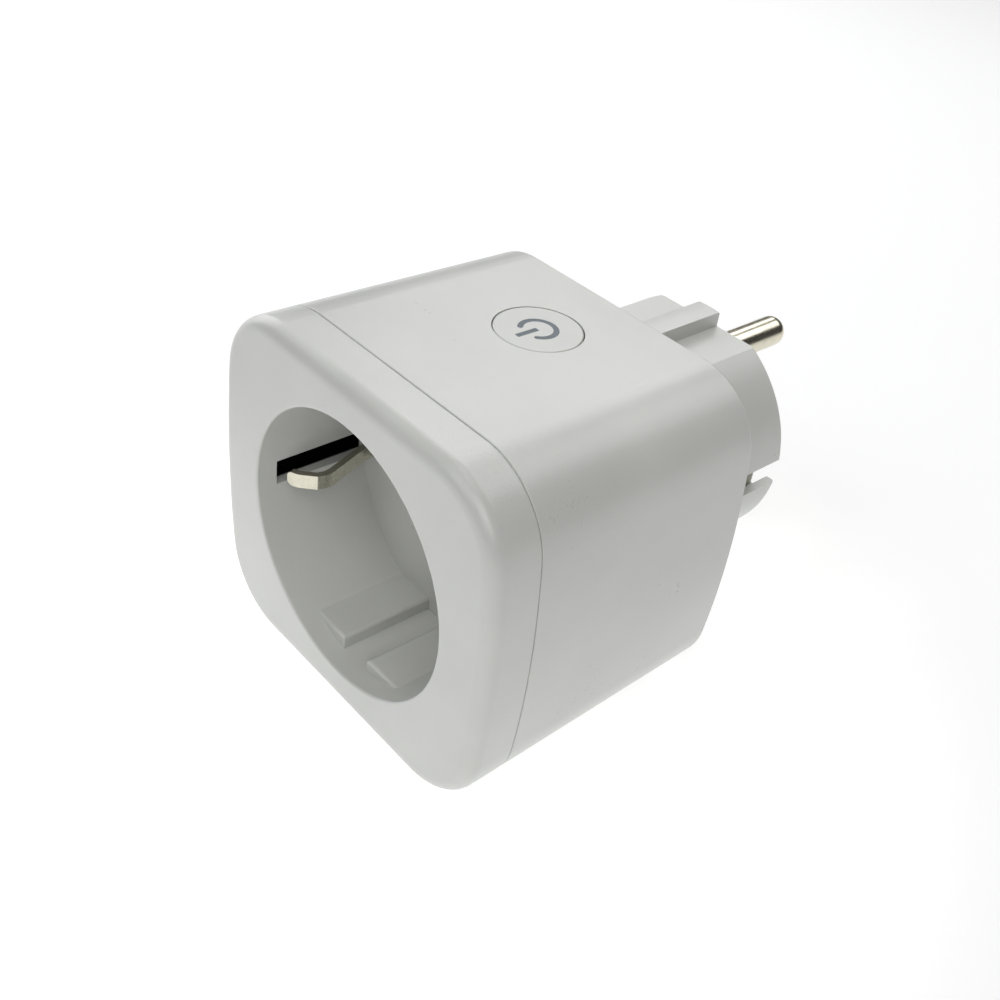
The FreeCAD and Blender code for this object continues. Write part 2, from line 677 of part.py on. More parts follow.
def make_housing_screws():
    """Four countersunk-deep pan-head screws, one in each corner of the back."""
    screws = []
    for number in range(4):
        side = "-" if number % 2 else ""
        rise = "-" if number // 2 else ""
        across, up = side + "post_across", rise + "post_up"
        seat = "body_depth - sink_depth"
        shaft = rod("screw_shaft_%d" % number, "screw_radius", "screw_length", "y",
                    across, "%s - screw_length" % seat, up)
        head = rod("screw_head_%d" % number, "head_radius", "head_height", "y", across, seat, up)
        top = "%s + head_height - cross_depth" % seat
        arms = []
        for name, half_across, half_up in (("flat", "cross_length", "cross_width"),
                                           ("upright", "cross_width", "cross_length")):
            arms.append(block("screw_%s_%d" % (name, number),
                              "%s - %s / 2" % (across, half_across), "%s + %s / 2" % (across, half_across),
                              top, "%s + cut_over" % top,
                              "%s - %s / 2" % (up, half_up), "%s + %s / 2" % (up, half_up)))
        whole = join("screw_blank_%d" % number, [shaft, head])
        recess = join("screw_recess_%d" % number, arms)
        screws.append(subtract("screw_%d" % number, whole, recess))
    return group("housing_screws", screws)


# ---------------------------------------------------------------- shutter
def make_shutter():
    """Child-protection slide: covers both holes, and uncovers them when it moves to +X."""
    body = new_body("shutter")
    sketch = new_sketch(body, "XZ_Plane", "shutter_start")
    rectangle(sketch, "-shutter_left", "shutter_right", "-shutter_half", "shutter_half")
    grow(body, sketch, "shutter_thick", "+Y")
    sketch = new_sketch(body, "XZ_Plane", "shutter_start")
    for up in ("-pin_pitch", "pin_pitch"):
        circle(sketch, "hole_radius", "-shutter_travel", up)
    carve(body, sketch, "shutter_thick", "+Y")
    start, hole = measure("shutter_start"), measure("hole_radius")
    chamfer(body, "hole_chamfer", lambda edge: isinstance(edge.Curve, Part.Circle)
            and near(edge.Curve.Radius, hole) and near(edge.Curve.Center.y, start))
    return body


def make_shutter_frame():
    """Frame behind the floor that guides the shutter and seats its spring."""
    body = new_body("shutter_frame")
    start = "mouth_depth + floor_thick"
    inside = "shutter_half + frame_play"
    sketch = new_sketch(body, "XZ_Plane", start)
    rectangle(sketch, "-shutter_left - frame_play - frame_wall", "frame_right + frame_wall",
              "-(%s) - frame_wall" % inside, "%s + frame_wall" % inside)
    grow(body, sketch, "shutter_thick + 2 * frame_play", "+Y")
    sketch = new_sketch(body, "XZ_Plane", start)
    rectangle(sketch, "-shutter_left - frame_play", "frame_right", "-(%s)" % inside, inside)
    carve(body, sketch, "shutter_thick + 2 * frame_play", "+Y")
    return body


def make_shutter_spring():
    """Compression spring between the shutter and its frame."""
    length = "frame_right - shutter_right - 2 * (spring_wire + rest_gap)"
    helix = doc.addObject("Part::Helix", "spring_path")
    bind(helix, "Radius", "spring_radius")
    bind(helix, "Pitch", "spring_pitch")
    bind(helix, "Height", length)
    wire = doc.addObject("Part::Circle", "spring_section")
    bind(wire, "Radius", "spring_wire")
    wire.Placement = FreeCAD.Placement(FreeCAD.Vector(measure("spring_radius"), 0, 0),
                                       FreeCAD.Rotation(FreeCAD.Vector(1, 0, 0), 90))
    coil = doc.addObject("Part::Sweep", "shutter_spring")
    coil.Label = "shutter_spring"
    coil.Sections = [wire]
    coil.Spine = (helix, [])
    coil.Solid = True
    coil.Frenet = True
    coil.Placement = FreeCAD.Placement(FreeCAD.Vector(), FreeCAD.Rotation(FreeCAD.Vector(0, 1, 0), 90))
    place(coil, "shutter_right + spring_wire + rest_gap", "shutter_start + shutter_thick / 2", "0")
    return coil


# ---------------------------------------------------------------- socket contacts
def make_contact_carrier():
    """Block with one open-backed cell behind each pin hole."""
    body = new_body("contact_carrier")
    sketch = new_sketch(body, "XZ_Plane", "carrier_start")
    rectangle(sketch, "-carrier_half", "carrier_half", "-carrier_tall", "carrier_tall")
    grow(body, sketch, "carrier_end - carrier_start", "+Y")
    sketch = new_sketch(body, "XZ_Plane", "carrier_end")
    for up in ("-pin_pitch", "pin_pitch"):
        rectangle(sketch, "-cell_half", "cell_half", "%s - cell_tall" % up, "%s + cell_tall" % up)
    carve(body, sketch, "carrier_end - carrier_start - sheet_thick", "-Y")
    sketch = new_sketch(body, "XZ_Plane", "carrier_start")
    for up in ("-pin_pitch", "pin_pitch"):
        circle(sketch, "hole_radius", "0", up)
    carve(body, sketch, "sheet_thick", "+Y")
    return body


def make_socket_contact(label):
    """Two sprung leaves on a back plate, with a tail that runs to the side board."""
    body = new_body(label)
    front, pinch, thick = "leaf_front", "leaf_pinch_depth", "sheet_thick"
    sketch = new_sketch(body, "XY_Plane", "pin_pitch")
    outline = [("leaf_mouth", front), ("leaf_pinch", pinch), ("leaf_root", "contact_back - %s" % thick)]
    outer = [("leaf_root + %s" % thick, "contact_back"), ("leaf_pinch + %s" % thick, pinch),
             ("leaf_mouth + %s" % thick, front)]
    right = outline + [("-(%s)" % across, depth) for across, depth in reversed(outline)]
    left = [("-(%s)" % across, depth) for across, depth in reversed(outer)]
    polygon(sketch, right + left + outer)
    grow(body, sketch, "2 * contact_half", "both")
    sketch = new_sketch(body, "XZ_Plane", "contact_back")
    rectangle(sketch, "-tail_width", "0", "pin_pitch", "pin_pitch + contact_half + tail_step")
    grow(body, sketch, "tail_step + %s" % thick, "+Y")
    sketch = new_sketch(body, "XZ_Plane", "contact_back + tail_step")
    rectangle(sketch, "-side_board + rest_gap", "0",
              "pin_pitch + contact_half", "pin_pitch + contact_half + tail_rise")
    grow(body, sketch, thick, "+Y")
    return body


# ---------------------------------------------------------------- earth path
def make_earth_clip(label, side):
    """Sprung earth clip: a strip that bows into the recess and hooks back into its slot."""
    body = new_body(label)
    sketch = new_sketch(body, "XY_Plane")
    bends = ("root", "waist", "apex", "crease", "knee", "tip")
    inner = [("clip_%s" % bend, "clip_%s_depth" % bend) for bend in bends]
    outer = [offset_point(point, normal, "clip_thick") for point, normal in zip(inner, strip_normals(inner))]
    outline = inner + outer[::-1]
    polygon(sketch, [("%s(%s)" % (side, across), depth) for across, depth in outline])
    grow(body, sketch, "2 * clip_half", "both")
    tip, root = measure("clip_tip_depth + clip_thick"), measure("clip_root_depth - clip_thick")
    crease, reach = measure("clip_crease_depth"), measure("clip_thick")

    def at_crease(edge):
        return straight_along(edge, "z") and abs(edge.BoundBox.YMin - crease) < reach

    def at_bend(edge):
        depth = edge.BoundBox.YMin
        inner_end = near(depth, measure("clip_knee_depth"))
        return straight_along(edge, "z") and (inner_end or tip < depth < root) and not at_crease(edge)

    def at_tip(edge):
        return (not straight_along(edge, "z") and near(edge.Length, reach)
                and edge.BoundBox.YMax < measure("clip_knee_depth") + reach)

    fillet(body, "clip_bend", at_bend)
    fillet(body, "crease_bend", at_crease)
    fillet(body, "tip_corner", at_tip)
    return body


def strip_normals(line):
    """At each point of a strip's inner line, the mitred normal as two plain factors."""
    points = [vector(*point) for point in line]
    runs = [(after - before).normalize() for before, after in zip(points, points[1:])]
    normals = []
    for number in range(len(points)):
        before = runs[max(number - 1, 0)]
        after = runs[min(number, len(runs) - 1)]
        left_before = FreeCAD.Vector(before.y, -before.x, 0)
        left_after = FreeCAD.Vector(after.y, -after.x, 0)
        mitre = left_before + left_after
        mitre = mitre * (2.0 / mitre.dot(mitre))
        normals.append(mitre * -1.0)
    return normals


def offset_point(point, normal, distance):
    return ("%s + (%s) * (%.5f)" % (point[0], distance, normal.x),
            "%s + (%s) * (%.5f)" % (point[1], distance, normal.y))


def make_earth_strap():
    """Bent strap from both clips, round the carrier, to the plug base's side contacts."""
    pieces = []
    for name, sign in (("left", "-"), ("right", "")):
        runs = [("in", "strap_side", "clip_root + clip_thick", "strap_start", "strap_start + sheet_thick"),
                ("along", "strap_side", "strap_side + sheet_thick", "strap_start",
                 "strap_step + sheet_thick"),
                ("out", "strap_side", "strap_arm + sheet_thick", "strap_step", "strap_step + sheet_thick"),
                ("arm", "strap_arm", "strap_arm + sheet_thick", "strap_step", "strap_end")]
        for run, near_end, far_end, front, back in runs:
            ends = (near_end, far_end) if not sign else ("-(%s)" % far_end, "-(%s)" % near_end)
            pieces.append(block("strap_%s_%s" % (name, run), *ends, front, back, "-strap_half", "strap_half"))
    pieces.append(block("strap_cross_run", "-strap_side", "strap_side", "strap_cross",
                        "strap_cross + sheet_thick", "-strap_half", "strap_half"))
    return join("earth_strap", pieces)


def make_rear_contact(label, side):
    """Bowed earth contact on the floor of the plug base's side slot, on a peg through the wall."""
    body = new_body(label)
    sketch = new_sketch(body, "XY_Plane")
    floor = "earth_slot_floor"
    start, end = "rear_contact_start", "rear_contact_end"
    low = [(floor, start), (floor, end), ("%s + sheet_thick" % floor, end)]
    bow = [("%s + contact_rise" % floor, "%s - bow_back" % end),
           ("%s + contact_rise" % floor, "%s + bow_front" % start),
           ("%s + sheet_thick" % floor, "%s + bow_foot" % start), ("%s + sheet_thick" % floor, start)]
    polygon(sketch, [("%s(%s)" % (side, across), depth) for across, depth in low + bow])
    grow(body, sketch, "2 * rear_contact_half", "both")
    peg_start = "strap_arm + sheet_thick"
    sketch = new_sketch(body, "YZ_Plane", "%s(%s)" % (side, peg_start))
    circle(sketch, "peg_radius", "(%s + %s) / 2" % (start, end), "0")
    toward = "-X" if side else "+X"
    grow(body, sketch, "%s - (%s) + sheet_thick / 2" % (floor, peg_start), toward)
    return body


# ---------------------------------------------------------------- plug
def make_plug_base():
    """Round plug body: two flats with a rib, slotted earth chambers, and a spigot in the housing."""
    body = new_body("plug_base")
    sketch = new_sketch(body, "XZ_Plane", "body_depth")
    circle(sketch, "base_radius")
    grow(body, sketch, "base_length", "+Y")
    end = measure("body_depth + base_length")
    fillet(body, "base_round", ring_at(end, measure("base_radius")))
    sketch = new_sketch(body, "XZ_Plane", "body_depth")
    for low, high in (("-base_radius - cut_over", "-base_flat"), ("base_flat", "base_radius + cut_over")):
        rectangle(sketch, "-base_radius", "-rib_half", low, high)
        rectangle(sketch, "rib_half", "base_radius", low, high)
    for left, right in (("-base_radius - cut_over", "-earth_lip"), ("earth_lip", "base_radius + cut_over")):
        rectangle(sketch, left, right, "-earth_slot_half", "earth_slot_half")
    carve(body, sketch, "base_length", "+Y")
    sketch = new_sketch(body, "XZ_Plane", "chamber_start")
    lip = "earth_lip + fit_play"
    for left, right in (("-(%s)" % lip, "-earth_slot_floor"), ("earth_slot_floor", lip)):
        rectangle(sketch, left, right, "-chamber_half", "chamber_half")
    carve(body, sketch, "body_depth + base_length - chamber_start", "+Y")
    sketch = new_sketch(body, "XZ_Plane", "body_depth")
    circle(sketch, "spigot_radius")
    grow(body, sketch, "spigot_length", "-Y")
    sketch = new_sketch(body, "XZ_Plane", "body_depth - spigot_length")
    circle(sketch, "base_hollow")
    carve(body, sketch, "spigot_length + base_length - base_end_wall", "+Y")
    sketch = new_sketch(body, "XZ_Plane", "body_depth + base_length")
    for up in ("-pin_pitch", "pin_pitch"):
        circle(sketch, "root_radius + fit_play", "0", up)
    carve(body, sketch, "base_end_wall", "-Y")
    sketch = new_sketch(body, "XZ_Plane", "body_depth + base_length - base_end_wall")
    circle(sketch, "pilot_radius")
    carve(body, sketch, "clamp_pilot", "+Y")
    sketch = new_sketch(body, "YZ_Plane")
    circle(sketch, "peg_radius + fit_play", "(rear_contact_start + rear_contact_end) / 2", "0")
    carve(body, sketch, "2 * (earth_slot_floor + cut_over)", "both")
    return body


def make_plug_pin(label, up):
    """Solid pin: rounded tip, shoulder on the end face, collar behind the wall, riveted shank."""
    body = new_body(label)
    sketch = new_sketch(body, "YZ_Plane")
    face = "body_depth + base_length"
    tip = "%s + pin_length" % face
    collar = "%s - base_end_wall - rest_gap" % face
    polygon(sketch, [("shank_start", "0"), (tip, "0"), (tip, "pin_radius"), (face, "pin_radius"),
                     (face, "root_radius"), (collar, "root_radius"),
                     (collar, "collar_radius"), ("%s - collar_width" % collar, "collar_radius"),
                     ("%s - collar_width" % collar, "root_radius"), ("shank_end", "root_radius"),
                     ("shank_end", "shank_radius"), ("shank_start", "shank_radius")])
    revolve(body, sketch, "H_Axis")
    fillet(body, "pin_tip_round", flat_at("Y", measure(tip)))
    place(body, "0", "0", up)
    return body


def make_pin_clamp():
    """Plate that holds both pins' collars against the plug base's end wall."""
    body = new_body("pin_clamp")
    back = "body_depth + base_length - base_end_wall - 2 * rest_gap - collar_width"
    sketch = new_sketch(body, "XZ_Plane", back)
    rectangle(sketch, "-clamp_half", "clamp_half", "-clamp_tall", "clamp_tall")
    for up in ("-pin_pitch", "pin_pitch"):
        circle(sketch, "root_radius + fit_play", "0", up)
    circle(sketch, "screw_clear")
    grow(body, sketch, "clamp_thick", "-Y")
    return body


def make_clamp_screw():
    """Screw through the middle of the pin clamp into the end wall."""
    grip = "clamp_thick + collar_width + 2 * rest_gap"
    seat = "body_depth + base_length - base_end_wall - (%s)" % grip
    head = rod("clamp_screw_head", "head_radius", "head_height", "y", "0", "%s - head_height" % seat, "0")
    shaft = rod("clamp_screw_shaft", "screw_radius", "%s + clamp_bite" % grip, "y", "0", seat, "0")
    return join("clamp_screw", [head, shaft])


def make_busbar(label):
    """Stepped busbar from a pin's shank to the side board."""
    rear = block(label + "_rear", "-bar_out", "bar_right", "bar_back", "bar_back + bar_thick",
                 "bar_low", "bar_high")
    hole = rod(label + "_hole", "shank_radius + fit_play", "bar_thick + 2 * cut_over", "y",
               "0", "bar_back - cut_over", "pin_pitch")
    pierced = subtract(label + "_pierced", rear, hole)
    side = block(label + "_side", "-bar_out", "-bar_out + bar_thick", "bar_front", "bar_back + bar_thick",
                 "bar_low", "bar_high")
    front = block(label + "_front", "-side_board + rest_gap", "-bar_out", "bar_front", "bar_front + bar_thick",
                  "bar_low", "bar_high")
    return join(label, [pierced, side, front])


# ---------------------------------------------------------------- power button
def settle_on_top(piece):
    """Put a piece drawn about the button's top centre onto the drafted top face."""
    tilt = -measure("draft_angle")
    piece.Placement = FreeCAD.Placement(FreeCAD.Vector(), FreeCAD.Rotation(FreeCAD.Vector(1, 0, 0), tilt))
    place(piece, "0", "button_depth",
          "half_height - (button_depth - seam_depth) * tan(draft_angle * 1deg)")


def draw_symbol(sketch):
    """Generic power mark: an open ring with a bar in its gap, towards the front."""
    ring_outer = measure("symbol_outer")
    ring_inner = measure("symbol_outer - symbol_stroke")
    gap = measure("symbol_gap")
    middle = measure("symbol_outer - symbol_stroke / 2")
    centre = FreeCAD.Vector(0, 0, 0)
    up = FreeCAD.Vector(0, 0, 1)
    turn = math.radians(1)
    start, end = (gap - 90) * turn, (270 - gap) * turn
    outer = sketch.addGeometry(Part.ArcOfCircle(Part.Circle(centre, up, ring_outer), start, end))
    inner = sketch.addGeometry(Part.ArcOfCircle(Part.Circle(centre, up, ring_inner), start, end))
    caps = []
    for angle, low, high in ((gap - 90, 180, 360), (270 - gap, 0, 180)):
        spot = FreeCAD.Rotation(up, angle).multVec(FreeCAD.Vector(middle, 0, 0))
        round_end = Part.Circle(spot, up, (ring_outer - ring_inner) / 2)
        caps.append(sketch.addGeometry(Part.ArcOfCircle(round_end, (low + angle) * turn, (high + angle) * turn)))
    rule(sketch, "Coincident", outer, 3, *ORIGIN_POINT)
    rule(sketch, "Coincident", inner, 3, *ORIGIN_POINT)
    rule(sketch, "Radius", outer, size="symbol_outer")
    rule(sketch, "Tangent", caps[0], 2, outer, 1)
    rule(sketch, "Tangent", caps[0], 1, inner, 1)
    rule(sketch, "Tangent", outer, 2, caps[1], 1)
    rule(sketch, "Tangent", inner, 2, caps[1], 2)
    rule(sketch, "Radius", caps[0], size="symbol_stroke / 2")
    sideways = "(symbol_outer - symbol_stroke / 2) * sin(symbol_gap * 1deg)"
    rule(sketch, "DistanceX", *ORIGIN_POINT, caps[0], 3, size=sideways)
    rule(sketch, "DistanceX", caps[1], 3, *ORIGIN_POINT, size=sideways)
    half = "symbol_stroke / 2"
    rectangle(sketch, "-(%s)" % half, half, "-bar_outer", "-bar_inner")


def make_power_button():
    """Round cap with a retaining flange, pierced by the power mark."""
    body = new_body("power_button")
    sketch = new_sketch(body, "XY_Plane")
    circle(sketch, "button_radius")
    grow(body, sketch, "button_height", "-Z")
    fillet(body, "button_edge", flat_at("Z", 0.0))
    sketch = new_sketch(body, "XY_Plane", "-flange_top")
    circle(sketch, "flange_radius")
    grow(body, sketch, "button_height - flange_top", "-Z")
    sketch = new_sketch(body, "XY_Plane", "-button_height")
    circle(sketch, "guide_radius + fit_play")
    carve(body, sketch, "button_height - button_top", "+Z")
    sketch = new_sketch(body, "XY_Plane")
    draw_symbol(sketch)
    carve(body, sketch, "button_top", "-Z")
    settle_on_top(body)
    return body


def make_power_symbol():
    """Inlay of the power mark: the ring and the bar, flush with the button."""
    body = new_body("power_symbol")
    sketch = new_sketch(body, "XY_Plane", "-symbol_sink")
    draw_symbol(sketch)
    grow(body, sketch, "button_top - symbol_sink", "-Z")
    settle_on_top(body)
    return body


def make_light_guide():
    """Clear disc inside the button that carries the indicator's light to the mark."""
    body = new_body("light_guide")
    sketch = new_sketch(body, "XY_Plane", "-button_top")
    circle(sketch, "guide_radius")
    grow(body, sketch, "button_height - button_top - 2 * rest_gap", "-Z")
    settle_on_top(body)
    return body


# ---------------------------------------------------------------- control board
def control_top():
    return "control_level + board_thick"


def make_control_board():
    board = block("control_board_blank", "-control_half", "control_half", "control_start", "control_end",
                  "control_level", control_top())
    return rounded("control_board", board, "part_round", lambda edge: straight_along(edge, "z"))


def make_tact_switch():
    """Tactile switch under the button, with a well for its plunger."""
    half = "switch_side / 2"
    case = block("tact_case", "-(%s)" % half, half, "button_depth - %s" % half, "button_depth + %s" % half,
                 control_top(), "%s + switch_height" % control_top())
    well = rod("tact_well", "plunger_radius + fit_play", "switch_height", "z", "0", "button_depth",
               "%s + switch_height - plunger_sink - plunger_room" % control_top())
    return subtract("tact_switch", case, well)


def make_tact_plunger():
    """Plunger from its well up to the underside of the light guide."""
    start = "%s + switch_height - plunger_sink" % control_top()
    top = "half_height - (button_depth - seam_depth) * tan(draft_angle * 1deg) - button_height"
    return rod("tact_plunger", "plunger_radius", "%s - (%s) - rest_gap" % (top, start), "z",
               "0", "button_depth", start)


def make_status_led():
    half_wide, half_long = "led_width / 2", "led_length / 2"
    return block("status_led", "led_offset - %s" % half_wide, "led_offset + %s" % half_wide,
                 "button_depth - %s" % half_long, "button_depth + %s" % half_long,
                 control_top(), "%s + led_height" % control_top())


def make_radio():
    """Radio module with its shield can and a meandering aerial track."""
    module = block("radio_module", "-radio_left", "-radio_left + radio_width", "radio_start",
                   "radio_start + radio_length", control_top(), "%s + radio_thick" % control_top())
    level = "%s + radio_thick" % control_top()
    can = block("radio_shield_blank", "-radio_left + shield_margin", "-radio_left + radio_width - shield_margin",
                "radio_start + radio_length - shield_margin - shield_length",
                "radio_start + radio_length - shield_margin", level, "%s + shield_height" % level)
    shield = rounded("radio_shield", can, "part_round", lambda edge: straight_along(edge, "z"))
    tracks = []
    step = "2 * aerial_stroke"
    runs = 4
    for number in range(runs):
        left = "-radio_left + shield_margin + %d * 2 * (%s)" % (number, step)
        front = "radio_start + aerial_stroke"
        tracks.append(block("aerial_down_%d" % number, left, "%s + aerial_stroke" % left, front,
                            "%s + aerial_length" % front, level, "%s + track_thick" % level))
        end = "radio_start + aerial_stroke" if number % 2 else "radio_start + aerial_length"
        if number + 1 < runs:
            tracks.append(block("aerial_turn_%d" % number, left, "%s + 2 * (%s) + aerial_stroke" % (left, step),
                                end, "%s + aerial_stroke" % end, level, "%s + track_thick" % level))
    return [module, shield, join("radio_aerial", tracks)]


# ---------------------------------------------------------------- power boards
def make_side_board(label, side):
    ends = ("-side_board - board_thick", "-side_board") if side else ("side_board", "side_board + board_thick")
    board = block(label + "_blank", *ends, "side_start", "side_end", "-side_half", "side_half")
    return rounded(label, board, "part_round", lambda edge: straight_along(edge, "x"))


def make_relay():
    case = block("relay_case", "-side_board + rest_gap", "-side_board + relay_depth", "relay_start", "relay_end",
                 "-relay_low", "relay_high")
    foot = flat_at("X", measure("-side_board + rest_gap"))
    return rounded("relay", case, "part_round", lambda edge: not foot(edge))


def make_film_capacitor():
    case = block("film_case", "side_board - film_depth", "side_board - rest_gap", "film_start",
                 "film_start + film_width", "film_low", "film_high")
    foot = flat_at("X", measure("side_board - rest_gap"))
    return rounded("film_capacitor", case, "part_round", lambda edge: not foot(edge))


def make_storage_capacitor():
    can = rod("storage_can", "can_radius", "can_length", "x", "side_board - can_length - rest_gap",
              "can_depth", "-can_drop")
    return rounded("storage_capacitor", can, "part_round", lambda edge: isinstance(edge.Curve, Part.Circle))


def make_choke():
    start = "side_board - choke_length - rest_gap"
    core = rod("choke_core", "choke_radius - choke_waist", "choke_length", "x", start, "choke_depth", "0")
    near_end = rod("choke_near", "choke_radius", "choke_flange", "x", start, "choke_depth", "0")
    far_end = rod("choke_far", "choke_radius", "choke_flange", "x", "side_board - choke_flange - rest_gap",
                  "choke_depth", "0")
    return join("choke", [core, near_end, far_end])


def make_varistor():
    disc = rod("varistor_disc", "disc_radius", "disc_thick", "y", "disc_out", "disc_start", "disc_up")
    return rounded("varistor", disc, "part_round", lambda edge: isinstance(edge.Curve, Part.Circle))


def make_fuse():
    tube = rod("fuse_tube", "fuse_radius", "fuse_length", "y", "fuse_out", "fuse_start", "-fuse_drop")
    front = rod("fuse_front", "fuse_cap_radius", "fuse_cap", "y", "fuse_out", "fuse_start - fuse_step", "-fuse_drop")
    back = rod("fuse_back", "fuse_cap_radius", "fuse_cap", "y", "fuse_out",
               "fuse_start + fuse_length - fuse_cap + fuse_step", "-fuse_drop")
    return join("fuse", [tube, front, back])


# ---------------------------------------------------------------- whole
def make_all():
    fill_sheet()
    nodes = [make_front_cap(), make_socket_floor(), make_housing(), make_housing_screws()]
    nodes += [make_shutter(), make_shutter_frame(), make_shutter_spring(), make_contact_carrier()]
    live, neutral = make_socket_contact("contact_live"), make_socket_contact("contact_neutral")
    half_turn(neutral)
    nodes += [live, neutral]
    nodes += [make_earth_clip("earth_clip_left", "-"), make_earth_clip("earth_clip_right", "")]
    nodes += [make_earth_strap(), make_rear_contact("rear_contact_left", "-"),
              make_rear_contact("rear_contact_right", "")]
    nodes += [make_plug_base(), make_plug_pin("plug_pin_live", "pin_pitch"),
              make_plug_pin("plug_pin_neutral", "-pin_pitch"), make_pin_clamp(), make_clamp_screw()]
    live_bar, neutral_bar = make_busbar("busbar_live"), make_busbar("busbar_neutral")
    half_turn(neutral_bar)
    nodes += [live_bar, neutral_bar]
    nodes += [make_power_button(), make_power_symbol(), make_light_guide()]
    nodes += [make_control_board(), make_tact_switch(), make_tact_plunger(), make_status_led()]
    nodes += make_radio()
    nodes += [make_side_board("relay_board", "-"), make_side_board("supply_board", ""), make_relay(),
              make_film_capacitor(), make_storage_capacitor(), make_choke(), make_varistor(), make_fuse()]
    doc.recompute()
    return nodes


def check(nodes):
    """Stop on a failed object, or on a sub-part without a valid shape."""
    failed = [item.Name for item in doc.Objects if "Invalid" in item.State or "Error" in item.State]
    failed += [node.Label for node in nodes if node.Shape.isNull() or not node.Shape.isValid()]
    if failed:
        raise RuntimeError("failed: " + ", ".join(failed))


def write(nodes):
    os.makedirs("parts", exist_ok=True)
    for node in nodes:
        node.Shape.exportStep("parts/%s.step" % node.Label)
        print("%-20s %10.2f mm3, %d solid(s)" % (node.Label, node.Shape.Volume, len(node.Shape.Solids)))


NODES = make_all()
check(NODES)
write(NODES)
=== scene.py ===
"""Looks of the smart plug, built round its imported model: finishes, fine pieces, light and camera."""
import json
import math
import bpy
from mathutils import Matrix, Vector


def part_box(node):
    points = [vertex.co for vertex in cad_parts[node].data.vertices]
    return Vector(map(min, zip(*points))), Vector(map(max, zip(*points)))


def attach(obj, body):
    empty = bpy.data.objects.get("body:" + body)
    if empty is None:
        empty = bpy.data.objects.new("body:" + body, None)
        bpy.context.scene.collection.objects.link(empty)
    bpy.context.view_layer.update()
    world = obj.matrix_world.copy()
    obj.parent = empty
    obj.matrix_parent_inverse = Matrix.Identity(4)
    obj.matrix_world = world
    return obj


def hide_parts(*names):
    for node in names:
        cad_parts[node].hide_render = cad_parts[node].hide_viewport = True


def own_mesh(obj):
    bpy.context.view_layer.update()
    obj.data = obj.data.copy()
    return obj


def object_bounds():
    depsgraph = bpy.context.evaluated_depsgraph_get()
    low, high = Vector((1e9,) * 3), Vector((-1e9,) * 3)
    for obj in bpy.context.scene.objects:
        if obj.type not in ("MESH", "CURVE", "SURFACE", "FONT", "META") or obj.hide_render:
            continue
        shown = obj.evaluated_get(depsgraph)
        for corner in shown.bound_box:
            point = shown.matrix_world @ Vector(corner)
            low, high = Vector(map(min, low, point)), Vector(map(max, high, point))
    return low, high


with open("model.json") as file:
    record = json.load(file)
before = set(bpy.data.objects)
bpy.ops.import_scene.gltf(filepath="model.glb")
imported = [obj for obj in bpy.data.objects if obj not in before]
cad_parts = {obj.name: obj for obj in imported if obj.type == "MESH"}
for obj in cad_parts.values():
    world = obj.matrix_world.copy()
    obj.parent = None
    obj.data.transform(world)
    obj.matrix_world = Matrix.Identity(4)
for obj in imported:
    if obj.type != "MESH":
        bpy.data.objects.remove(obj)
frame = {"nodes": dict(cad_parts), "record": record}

MM = 0.001
frame_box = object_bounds()


# ------------------------------------------------------------------ node trees
class Signal:
    """A socket in a tree that Python's operators combine with others and with plain numbers."""

    def __init__(self, owner, socket):
        self.owner = owner
        self.socket = socket

    def maths(self, operation, *others):
        return self.owner.node("ShaderNodeMath", {"operation": operation}, [self, *others])[0]

    def __add__(self, other):
        return self.maths("ADD", other)

    __radd__ = __add__

    def __mul__(self, other):
        return self.maths("MULTIPLY", other)

    __rmul__ = __mul__

    def __sub__(self, other):
        return self.maths("SUBTRACT", other)

    def __rsub__(self, other):
        return self.owner.number(other).maths("SUBTRACT", self)

    def __truediv__(self, other):
        return self.maths("DIVIDE", other)

    def __abs__(self):
        return self.maths("ABSOLUTE")

    def ramp(self, low, high, out_low=0.0, out_high=1.0):
        """Smooth change from out_low to out_high while this value goes from low to high."""
        return self.owner.node("ShaderNodeMapRange", {"interpolation_type": "SMOOTHSTEP", "clamp": True},
                               {"Value": self, "From Min": low, "From Max": high,
                                "To Min": out_low, "To Max": out_high})[0]


class Outputs:
    """The outputs of a node, by number or by name."""

    def __init__(self, owner, node):
        self.owner = owner
        self.node = node

    def __getitem__(self, key):
        return Signal(self.owner, self.node.outputs[key])


class Tree:
    """A node tree with one method that adds any node."""

    def node(self, kind, settings, inputs):
        """Add a node: its type, its settings, then the values or links of its sockets."""
        made = self.tree.nodes.new(kind)
        for name, setting in settings.items():
            setattr(made, name, setting)
        pairs = inputs.items() if isinstance(inputs, dict) else enumerate(inputs)
        for name, given in pairs:
            self.give(made.inputs[name], given)
        return Outputs(self, made)

    def give(self, socket, given):
        """Link a signal or a list of signals to a socket, or set its value."""
        if isinstance(given, Signal):
            self.tree.links.new(given.socket, socket)
        elif isinstance(given, list):
            for signal in reversed(given):
                self.tree.links.new(signal.socket, socket)
        else:
            socket.default_value = given

    def number(self, plain):
        return self.node("ShaderNodeMath", {"operation": "ADD"}, [plain, 0.0])[0]


